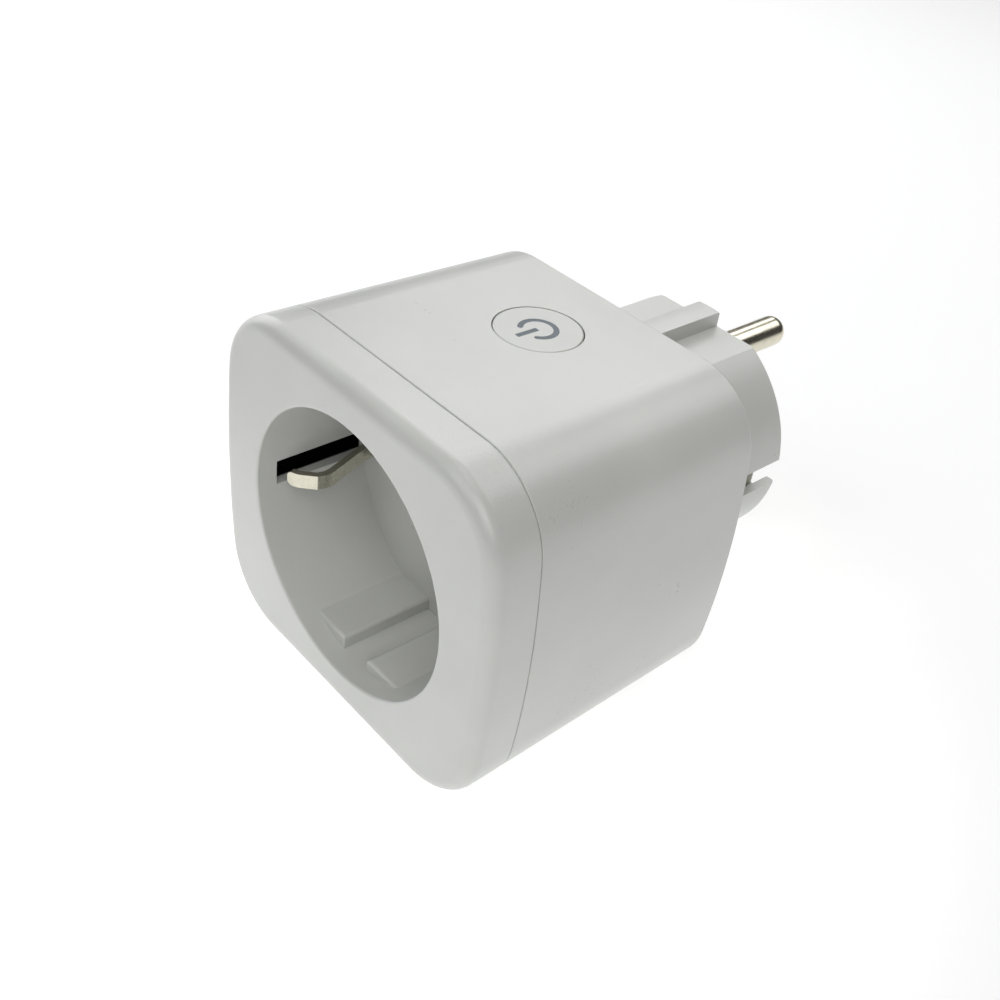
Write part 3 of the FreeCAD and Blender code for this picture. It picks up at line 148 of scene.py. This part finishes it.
class Shape(Tree):
    """A geometry tree with named sizes, ended by Realize Instances and Set Material."""

    def __init__(self, name, sizes):
        self.tree = bpy.data.node_groups.new(name, "GeometryNodeTree")
        doors = self.tree.interface
        doors.new_socket("Geometry", in_out="INPUT", socket_type="NodeSocketGeometry")
        doors.new_socket("Geometry", in_out="OUTPUT", socket_type="NodeSocketGeometry")
        self.names = {}
        for label, value in sizes.items():
            kind = "NodeSocketInt" if isinstance(value, int) else "NodeSocketFloat"
            self.names[label] = doors.new_socket(label, in_out="INPUT", socket_type=kind).identifier
        self.entry = self.tree.nodes.new("NodeGroupInput")
        self.out = self.tree.nodes.new("NodeGroupOutput")

    def __getitem__(self, label):
        return Signal(self, self.entry.outputs[label])

    def vector(self, across=0.0, deep=0.0, up=0.0):
        return self.node("ShaderNodeCombineXYZ", {}, [across, deep, up])[0]

    def moved(self, mesh, spot=None, turn=(0.0, 0.0, 0.0)):
        given = {"Geometry": mesh, "Rotation": turn}
        if spot is not None:
            given["Translation"] = spot
        return self.node("GeometryNodeTransform", {}, given)[0]

    def finish(self, mesh, finish):
        single = self.node("GeometryNodeRealizeInstances", {}, {"Geometry": mesh})[0]
        painted = self.node("GeometryNodeSetMaterial", {}, {"Geometry": single, "Material": finish})[0]
        self.tree.links.new(painted.socket, self.out.inputs[0])

    def made(self, name, sizes, body, slot):
        """Run the tree with these sizes and keep the result as a plain mesh on a body."""
        bare = bpy.data.objects.new(name + "_tree", bpy.data.meshes.new(name + "_start"))
        bpy.context.scene.collection.objects.link(bare)
        modifier = bare.modifiers.new("shape", "NODES")
        modifier.node_group = self.tree
        for label, value in sizes.items():
            modifier[self.names[label]] = value
        ready = bare.evaluated_get(bpy.context.evaluated_depsgraph_get())
        mesh = bpy.data.meshes.new_from_object(ready)
        bpy.data.objects.remove(bare)
        piece = bpy.data.objects.new(name, mesh)
        bpy.context.scene.collection.objects.link(piece)
        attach(piece, body)
        return piece


class Paint(Tree):
    """One material with its Principled surface."""

    def __init__(self, name, **constants):
        self.material = bpy.data.materials.new(name)
        self.material.use_nodes = True
        self.tree = self.material.node_tree
        self.tree.nodes.clear()
        self.surface = self.tree.nodes.new("ShaderNodeBsdfPrincipled")
        self.out = self.tree.nodes.new("ShaderNodeOutputMaterial")
        self.tree.links.new(self.surface.outputs[0], self.out.inputs["Surface"])
        for socket, setting in constants.items():
            self.surface.inputs[socket.replace("_", " ")].default_value = setting
        self.place = self.node("ShaderNodeTexCoord", {}, {})["Object"]

    def shaded_over(self, share, colour):
        """Lay a flat matt colour, painted shade, over the surface where the share is 1."""
        matt = self.node("ShaderNodeBsdfDiffuse", {}, {"Color": (*colour, 1.0)})[0]
        plain = Signal(self, self.surface.outputs[0])
        covered = self.node("ShaderNodeMixShader", {}, [share, plain, matt])[0]
        self.give(self.out.inputs["Surface"], covered)

    def noise(self, scale, detail=2.0, roughness=0.5, where=None):
        """Noise of a given number of features per metre."""
        fed = {"Vector": where or self.place, "Scale": scale, "Detail": detail, "Roughness": roughness}
        return self.node("ShaderNodeTexNoise", {}, fed)["Fac"]

    def cells(self, scale, feature="F1"):
        """Distance to the nearest of scattered points."""
        return self.node("ShaderNodeTexVoronoi", {"feature": feature},
                         {"Vector": self.place, "Scale": scale})["Distance"]

    def stretched(self, across, along, up):
        """Object coordinates scaled apart on each axis, for marks that run one way."""
        return self.node("ShaderNodeMapping", {}, {"Vector": self.place, "Scale": (across, along, up)})[0]

    def axes(self):
        parts = self.node("ShaderNodeSeparateXYZ", {}, [self.place])
        return parts["X"], parts["Y"], parts["Z"]

    def blend(self, share, first, second, kind="MIX"):
        """Mix two colours by a share."""
        made = self.tree.nodes.new("ShaderNodeMix")
        made.data_type = "RGBA"
        made.blend_type = kind
        for name, given in (("Factor_Float", share), ("A_Color", first), ("B_Color", second)):
            socket = next(item for item in made.inputs if item.identifier == name)
            self.give(socket, (*given, 1.0) if isinstance(given, tuple) else given)
        return Signal(self, next(item for item in made.outputs if item.identifier == "Result_Color"))

    def bump(self, height, distance):
        return self.node("ShaderNodeBump", {}, {"Height": height, "Distance": distance})[0]

    def feed(self, **links):
        for name, given in links.items():
            self.tree.links.new(given.socket, self.surface.inputs[name.replace("_", " ")])
        return self.material


# ------------------------------------------------------------------ finishes
# painted shade over the unlit space behind the earth slots, as pairs between which the painted shade
# comes or goes, in metres
SLOT_WALL = (0.0209, 0.0213)
SLOT_END = (0.0266, 0.0269)
SLOT_HALF = (0.0110, 0.0115)
SLOT_RIM = (0.0006, 0.0022)
SLOT_FLOOR = (0.0240, 0.0250)
# near-black colour painted as shade behind the earth slots
SLOT_PAINTED_SHADE = (0.006, 0.006, 0.006)
# dark bare metal on faces pointing up or down: unplated cut edges, and painted shade
BARE_EDGE_AND_SHADE = (0.16, 0.15, 0.12)


def moulded_plastic(name, colour, rough=0.27, grain=0.00002, shade=0.05, slots=False):
    """Moulded plastic: fine spark-eroded grain, faint flow clouding, dust and hairline scuffs."""
    paint = Paint(name, IOR=1.52, Specular_IOR_Level=0.7)
    cloud = paint.noise(45, 3.0)
    speckle = paint.noise(2600, 2.0, 0.7)
    scuffs = paint.noise(60, 2.0, 0.6, where=paint.stretched(1.0, 14.0, 9.0))
    scuff_lines = scuffs.ramp(0.66, 0.72)
    dust = paint.cells(260).ramp(0.035, 0.015)
    dark = tuple(channel * (1 - shade) for channel in colour)
    light = tuple(min(channel * (1 + shade * 0.5), 1.0) for channel in colour)
    base = paint.blend(cloud.ramp(0.3, 0.7), dark, light)
    base = paint.blend(speckle.ramp(0.55, 0.8) * 0.10, base, tuple(channel * 0.8 for channel in colour))
    base = paint.blend(dust * 0.12, base, (0.35, 0.34, 0.32))
    roughness = (cloud * 0.08 + rough - 0.04) + speckle * 0.06 - scuff_lines * 0.012
    if slots:
        # painted shade: a near-black matt colour over the unlit space behind the earth slots
        paint.shaded_over(slot_shade_share(paint), SLOT_PAINTED_SHADE)
    grain_height = paint.noise(5200, 3.0, 0.6)
    coarse = paint.noise(900, 2.0)
    normal = paint.bump(grain_height + coarse * 0.6, grain)
    return paint.feed(Base_Color=base, Roughness=roughness, Normal=normal)


def slot_shade_share(paint):
    """Share of painted shade, a near-black matt colour laid over the unlit space behind the recess's two
    earth slots: 1 inside, 0 outside.
    """
    across, deep, up = paint.axes()
    behind_wall = abs(across).ramp(*SLOT_WALL)
    inside_skin = abs(across).ramp(*SLOT_END, 1.0, 0.0)
    in_band = abs(up).ramp(*SLOT_HALF, 1.0, 0.0)
    below_rim = deep.ramp(*SLOT_RIM)
    above_floor = deep.ramp(*SLOT_FLOOR, 1.0, 0.0)
    return behind_wall * inside_skin * in_band * below_rim * above_floor


def cut_edges_and_shade(paint):
    """Share of a stamped strip's faces that point up and down: its unplated cut edges, darkened also as
    painted shade.
    """
    facing = paint.node("ShaderNodeNewGeometry", {}, {})["Normal"]
    upward = paint.node("ShaderNodeSeparateXYZ", {}, [facing])["Z"]
    return abs(upward).ramp(0.90, 0.97)


def plated_metal(name, colour, rough=0.22, brush=(1.0, 40.0, 40.0), tarnish=0.10, edges=False):
    """Plated metal: drawing marks along one way, cloudy tarnish and a few pits."""
    paint = Paint(name, Metallic=1.0)
    marks = paint.noise(160, 4.0, 0.65, where=paint.stretched(*brush))
    cloud = paint.noise(240, 3.0, 0.6)
    pits = paint.cells(900).ramp(0.07, 0.03)
    dull = tuple(channel * (1 - tarnish) for channel in colour)
    base = paint.blend(cloud.ramp(0.35, 0.7), colour, dull)
    base = paint.blend(pits * 0.35, base, (0.12, 0.11, 0.09))
    roughness = marks * 0.16 + cloud * 0.12 + (rough - 0.10)
    if edges:
        # faces pointing up or down get a dark colour: unplated cut edges and painted shade
        bare = cut_edges_and_shade(paint)
        base = paint.blend(bare * 0.7, base, BARE_EDGE_AND_SHADE)
        roughness = roughness + bare * 0.2
    normal = paint.bump(marks - pits * 0.6, 0.000006)
    return paint.feed(Base_Color=base, Roughness=roughness, Normal=normal)


def circuit_board(name):
    """Green solder resist over copper tracks and pads, on glass-fibre weave."""
    paint = Paint(name, IOR=1.5, Coat_Weight=0.3, Coat_Roughness=0.2)
    weave = paint.noise(1400, 1.0, where=paint.stretched(1.0, 0.15, 1.0))
    tracks = (paint.cells(330, feature="SMOOTH_F1") * 9.0).maths("FRACT").ramp(0.45, 0.52)
    pads = paint.cells(520).ramp(0.16, 0.12)
    base = paint.blend(tracks * 0.6, (0.012, 0.105, 0.035), (0.03, 0.2, 0.07))
    base = paint.blend(pads * 0.85, base, (0.55, 0.56, 0.55))
    roughness = weave * 0.12 + 0.28
    normal = paint.bump(tracks * 0.7 + weave * 0.3 + pads, 0.00002)
    return paint.feed(Base_Color=base, Roughness=roughness, Normal=normal, Metallic=pads * 0.8)


def case_plastic(name, colour, rough=0.35):
    """Component case: glossy moulding with fine grain and faint smears."""
    paint = Paint(name, IOR=1.5)
    cloud = paint.noise(140, 3.0)
    smear = paint.noise(90, 3.0, 0.6, where=paint.stretched(1.0, 6.0, 1.0))
    base = paint.blend(cloud, tuple(channel * 0.85 for channel in colour), colour)
    roughness = smear * 0.2 + (rough - 0.1)
    normal = paint.bump(paint.noise(3200, 2.0), 0.000015)
    return paint.feed(Base_Color=base, Roughness=roughness, Normal=normal)


SHELL = (0.58, 0.585, 0.56)
FINISHES = {
    "shell_plastic": moulded_plastic("satin_grey_plastic", SHELL, slots=True),
    "white_plastic": moulded_plastic("white_inner_plastic", (0.78, 0.78, 0.76), 0.5),
    "symbol_grey": case_plastic("blue_grey_mark", (0.115, 0.145, 0.17), 0.45),
    "clear_plastic": case_plastic("frosted_guide", (0.8, 0.83, 0.84), 0.5),
    "nickel": plated_metal("nickel_plate", (0.74, 0.70, 0.57), 0.20),
    "enamelled_copper": plated_metal("enamelled_copper", (0.72, 0.24, 0.08), 0.25),
    "contact_bronze": plated_metal("phosphor_bronze", (0.72, 0.42, 0.20), 0.3),
    "screw_steel": plated_metal("zinc_plate", (0.62, 0.63, 0.64), 0.3),
    "board_green": circuit_board("circuit_board_green"),
    "component_black": case_plastic("black_case", (0.02, 0.02, 0.022)),
    "film_yellow": case_plastic("yellow_film_case", (0.72, 0.42, 0.04)),
    "can_aluminium": plated_metal("drawn_aluminium", (0.76, 0.77, 0.78), 0.35),
    "choke_brown": case_plastic("varnished_winding", (0.25, 0.09, 0.03), 0.25),
    "varistor_blue": case_plastic("blue_epoxy", (0.03, 0.09, 0.35), 0.3),
    "fuse_ceramic": case_plastic("fuse_ceramic", (0.75, 0.72, 0.64), 0.4),
}


# the button: the shell plastic a little darker, painted shade
SHADED_BUTTON_FINISH = moulded_plastic("button_plastic_painted_shade", tuple(channel * 0.97 for channel in SHELL))
STRIPS = ("earth_clip_left", "earth_clip_right", "earth_strap")
CONTACTS = ("rear_contact_left", "rear_contact_right")
# rear contacts: a darkened copy of the contact metal, painted shade for the slot they sit in; its tarnish
# clouding is random
SHADED_CONTACT_FINISH = plated_metal("contact_painted_shade", (0.26, 0.25, 0.19), 0.36, tarnish=0.3, edges=True)
STRIP_FINISH = plated_metal("nickel_strip", (0.64, 0.615, 0.51), 0.24, edges=True)


def dress_nodes():
    """Give every CAD piece the finish of its material slot."""
    slots = {row["node"]: row["material_slot"] for row in frame["record"]["subparts"]}
    for name, piece in frame["nodes"].items():
        finish = STRIP_FINISH if name in STRIPS else FINISHES[slots[name]]
        if name == "power_button":
            finish = SHADED_BUTTON_FINISH
        elif name in CONTACTS:
            finish = SHADED_CONTACT_FINISH
        for place in piece.material_slots:
            place.material = finish


# ------------------------------------------------------------------ screws and coils
QUARTER_TURN = math.pi / 2
SCREWS = {
    "Across": 20.00 * MM, "Up": 16.80 * MM, "Seat": 42.79 * MM,
    "Head radius": 2.30 * MM, "Head height": 1.15 * MM, "Head rounding": 0.40 * MM,
    "Core radius": 1.00 * MM, "Length": 9.90 * MM, "Thread radius": 0.22 * MM, "Thread pitch": 1.10 * MM,
    "Cross length": 2.60 * MM, "Cross width": 0.55 * MM, "Cross depth": 0.70 * MM, "Seed": 7,
}
SPRING = {
    "Start": 4.59 * MM, "Deep": 20.775 * MM, "Up": 0.0,
    "Middle radius": 0.50 * MM, "Wire radius": 0.14 * MM, "Height": 9.22 * MM, "Pitch": 1.15 * MM,
}
HEAD_SIDES = 48
ROUNDING_STEPS = 6
CORE_SIDES = 32
THREAD_STEPS = 24
RIDGE_SIDES = 4
THREADED_SHARE = 0.9
WELD = 0.002 * MM
COIL_STEPS = 28
WIRE_SIDES = 10
WINDING_WIRE = 0.16 * MM
WINDING_GAP = 0.02 * MM
CHOKE_FLANGE = 1.00 * MM
CHOKE_WAIST = 0.60 * MM


def screw_tree(finish):
    """Pan-head screws at the corners of a rectangle, each with a cross recess and a wound thread."""
    shape = Shape("housing_screw_set", SCREWS)
    profile = shape.node("GeometryNodeCurvePrimitiveQuadrilateral", {"mode": "RECTANGLE"},
                         {"Width": shape["Head radius"], "Height": shape["Head height"]})[0]
    profile = shape.node("GeometryNodeFilletCurve", {"mode": "POLY"},
                         {"Curve": profile, "Count": ROUNDING_STEPS,
                          "Radius": shape["Head rounding"]})[0]
    round_path = shape.node("GeometryNodeCurvePrimitiveCircle", {},
                            {"Resolution": HEAD_SIDES, "Radius": shape["Head radius"] / 2})[0]
    head = shape.node("GeometryNodeCurveToMesh", {}, {"Curve": round_path, "Profile Curve": profile})[0]
    head = shape.node("GeometryNodeMergeByDistance", {}, {"Geometry": head, "Distance": WELD})[0]
    head = shape.moved(head, shape.vector(up=shape["Head height"] / 2))
    arms = []
    long_arm, short_arm = shape["Cross length"], shape["Cross width"]
    for half_across, half_up in ((long_arm, short_arm), (short_arm, long_arm)):
        size = shape.vector(half_across, half_up, shape["Cross depth"] * 2)
        arm = shape.node("GeometryNodeMeshCube", {}, {"Size": size})[0]
        arms.append(shape.moved(arm, shape.vector(up=shape["Head height"])))
    head = shape.node("GeometryNodeMeshBoolean", {"operation": "DIFFERENCE"},
                      {"Mesh 1": head, "Mesh 2": arms})[0]
    core = shape.node("GeometryNodeMeshCylinder", {"fill_type": "NGON"},
                      {"Vertices": CORE_SIDES, "Radius": shape["Core radius"],
                       "Depth": shape["Length"]})[0]
    core = shape.moved(core, shape.vector(up=shape["Length"] / -2))
    turns = shape["Length"] / shape["Thread pitch"]
    path = shape.node("GeometryNodeCurveSpiral", {},
                      {"Resolution": THREAD_STEPS, "Rotations": turns - 1,
                       "Start Radius": shape["Core radius"], "End Radius": shape["Core radius"],
                       "Height": shape["Length"] * THREADED_SHARE})[0]
    ridge = shape.node("GeometryNodeCurvePrimitiveCircle", {},
                       {"Resolution": RIDGE_SIDES, "Radius": shape["Thread radius"]})[0]
    thread = shape.node("GeometryNodeCurveToMesh", {},
                        {"Curve": path, "Profile Curve": ridge, "Fill Caps": True})[0]
    thread = shape.moved(thread, shape.vector(up=shape["Length"] * -(1 + THREADED_SHARE) / 2))
    screw = shape.node("GeometryNodeJoinGeometry", {}, {"Geometry": [head, core, thread]})[0]
    screw = shape.moved(screw, turn=(-QUARTER_TURN, 0.0, 0.0))
    corners = shape.node("GeometryNodeMeshGrid", {},
                         {"Size X": shape["Across"] * 2, "Size Y": shape["Up"] * 2,
                          "Vertices X": 2, "Vertices Y": 2})[0]
    corners = shape.moved(corners, shape.vector(deep=shape["Seat"]), (QUARTER_TURN, 0.0, 0.0))
    turned = shape.node("FunctionNodeRandomValue", {"data_type": "FLOAT"}, {})
    for socket in turned.node.inputs:
        if socket.enabled and socket.name == "Seed":
            shape.give(socket, shape["Seed"])
        elif socket.enabled and socket.name == "Max":
            shape.give(socket, QUARTER_TURN)
    angle = next(socket for socket in turned.node.outputs if socket.enabled)
    placed = shape.node("GeometryNodeInstanceOnPoints", {},
                        {"Points": corners, "Instance": screw,
                         "Rotation": shape.vector(deep=Signal(shape, angle))})[0]
    shape.finish(placed, finish)
    return shape


def coil_tree(name, finish):
    """Round wire wound at an even pitch along the across axis."""
    shape = Shape(name, SPRING)
    path = shape.node("GeometryNodeCurveSpiral", {},
                      {"Resolution": COIL_STEPS, "Rotations": shape["Height"] / shape["Pitch"],
                       "Start Radius": shape["Middle radius"], "End Radius": shape["Middle radius"],
                       "Height": shape["Height"]})[0]
    section = shape.node("GeometryNodeCurvePrimitiveCircle", {},
                         {"Resolution": WIRE_SIDES, "Radius": shape["Wire radius"]})[0]
    wire = shape.node("GeometryNodeCurveToMesh", {},
                      {"Curve": path, "Profile Curve": section, "Fill Caps": True})[0]
    placed = shape.moved(wire, shape.vector(shape["Start"], shape["Deep"], shape["Up"]),
                         (0.0, QUARTER_TURN, 0.0))
    shape.finish(placed, finish)
    return shape


def smooth(piece, angle=40):
    """Shade a piece smooth except at edges sharper than an angle in degrees."""
    piece.data.shade_smooth()
    piece.data.set_sharp_from_angle(angle=math.radians(angle))


def make_screws():
    pattern = screw_tree(FINISHES["screw_steel"])
    screws = pattern.made("housing_screws_turned", SCREWS, "case", "screw_steel")
    smooth(screws)
    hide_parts("housing_screws")


def make_spring():
    coil = coil_tree("spring_coil", FINISHES["screw_steel"])
    spring = coil.made("shutter_spring_wound", SPRING, "case", "screw_steel")
    smooth(spring)
    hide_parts("shutter_spring")
    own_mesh(spring)


def make_winding():
    """Enamelled wire in the waist of the choke, one close layer between its flanges."""
    low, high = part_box("choke")
    radius = (high.z - low.z) / 2 - CHOKE_WAIST + WINDING_WIRE + WINDING_GAP
    length = high.x - low.x - 2 * (CHOKE_FLANGE + WINDING_WIRE + WINDING_GAP)
    sizes = {
        "Start": (low.x + high.x - length) / 2, "Deep": (low.y + high.y) / 2, "Up": (low.z + high.z) / 2,
        "Middle radius": radius, "Wire radius": WINDING_WIRE, "Height": length,
        "Pitch": 2 * WINDING_WIRE + WINDING_GAP,
    }
    coil = coil_tree("winding_coil", FINISHES["enamelled_copper"])
    winding = coil.made("choke_winding", sizes, "case", "contact_bronze")
    smooth(winding)


# ------------------------------------------------------------------ light, floor, camera
def white_world():
    """Bright studio: white to the camera, dim to the object, which the lamps and the floor light."""
    world = bpy.data.worlds.new("studio")
    bpy.context.scene.world = world
    world.use_nodes = True
    studio = Tree()
    studio.tree = world.node_tree
    studio.tree.nodes.clear()
    dim, white = (studio.node("ShaderNodeBackground", {}, {"Color": WHITE, "Strength": strength})[0]
                  for strength in (WORLD_STRENGTH, 1.0))
    seen = studio.node("ShaderNodeLightPath", {}, {})["Is Camera Ray"]
    mixed = studio.node("ShaderNodeMixShader", {}, [seen, dim, white])[0]
    studio.node("ShaderNodeOutputWorld", {}, {"Surface": mixed})


# name, place, aim, side of the lamp, power, colour: metres and watts
LAMPS = [
    ("over_back_left", (-0.32, 0.42, 0.42), (0, 0.03, 0), 0.36, 1.12, (1, 1, 1)),
    ("over_back", (0.10, 0.50, 0.52), (0, 0.03, 0), 0.36, 0.93, (1, 1, 1)),
    ("over", (0.00, 0.05, 0.60), (0, 0.03, 0), 0.30, 0.49, (1, 1, 0.99)),
    ("left", (-0.55, 0.05, 0.22), (0, 0.03, 0), 0.42, 1.34, (0.985, 0.995, 1)),
    ("front_high", (-0.05, -0.42, 0.48), (0, 0.0, 0), 0.46, 1.06, (0.97, 0.985, 1)),
    ("camera_side", (0.38, -0.28, 0.45), (0, 0.0, 0), 0.42, 1.41, (1, 1, 0.99)),
]
WHITE = (1.0, 1.0, 1.0, 1.0)
WORLD_STRENGTH = 0.05
# floor glow: a painted pool of light close to the object, fading to an even glow farther off
CLOSE_GLOW = 0.36
FAR_GLOW = 0.17
CLOSE_START = 0.04
CLOSE_REACH = 0.11
FLOOR_HALF = 2.0
FLOOR_GAP = 0.05 * MM


def softbox(name, spot, aim, size, power, colour):
    lamp = bpy.data.lights.new(name, "AREA")
    lamp.shape = "SQUARE"
    lamp.size = size
    lamp.energy = power
    lamp.color = colour
    holder = bpy.data.objects.new(name, lamp)
    bpy.context.scene.collection.objects.link(holder)
    holder.location = spot
    holder.rotation_euler = (Vector(aim) - Vector(spot)).to_track_quat("-Z", "Y").to_euler()
    holder.visible_camera = False


def pale_floor(level):
    """White table that glows, with a painted pool of light: a little brighter close to the object than
    far off.
    """
    corners = [(across * FLOOR_HALF, deep * FLOOR_HALF, level) for across, deep in
               ((-1, -1), (1, -1), (1, 1), (-1, 1))]
    mesh = bpy.data.meshes.new("floor")
    mesh.from_pydata(corners, [], [(0, 1, 2, 3)])
    floor = bpy.data.objects.new("floor", mesh)
    bpy.context.scene.collection.objects.link(floor)
    paint = Paint("pale_floor", Base_Color=(0.9, 0.9, 0.9, 1), Roughness=0.8,
                  Emission_Strength=CLOSE_GLOW + FAR_GLOW)
    distance = paint.node("ShaderNodeVectorMath", {"operation": "LENGTH"}, [paint.place])["Value"]
    glow = distance.ramp(CLOSE_START, CLOSE_REACH, CLOSE_GLOW, 0.0) + FAR_GLOW
    share = glow / (CLOSE_GLOW + FAR_GLOW)
    paint.feed(Emission_Color=paint.blend(share, (0.0, 0.0, 0.0), (1.0, 1.0, 1.0)))
    mesh.materials.append(paint.material)


VIEW_ANGLES = (44.86, 36.57, 7.6)
VIEWPOINT = (98.05, -71.58, 101.33)
SENSOR = 36.0
LENS = 44.65


def place_camera():
    """The viewpoint: from the front right and above, close by, rolled a little."""
    azimuth, elevation, roll = (math.radians(angle) for angle in VIEW_ANGLES)
    spot = Vector(VIEWPOINT) * MM
    back = Vector((math.sin(azimuth) * math.cos(elevation), -math.cos(azimuth) * math.cos(elevation),
                   math.sin(elevation)))
    level_right = Vector((math.cos(azimuth), math.sin(azimuth), 0))
    level_up = back.cross(level_right)
    right = level_right * math.cos(roll) + level_up * math.sin(roll)
    up = level_up * math.cos(roll) - level_right * math.sin(roll)
    lens = bpy.data.cameras.new("camera")
    lens.sensor_width = SENSOR
    lens.lens = LENS
    lens.clip_start = 0.01
    lens.clip_end = 10.0
    camera = bpy.data.objects.new("camera", lens)
    bpy.context.scene.collection.objects.link(camera)
    camera.matrix_world = Matrix.Translation(spot) @ Matrix((right, up, back)).transposed().to_4x4()
    bpy.context.scene.camera = camera


dress_nodes()
make_screws()
make_spring()
make_winding()
bpy.context.scene.view_settings.view_transform = "Standard"
white_world()
pale_floor(frame_box[0].z - FLOOR_GAP)
for lamp in LAMPS:
    softbox(*lamp)
place_camera()
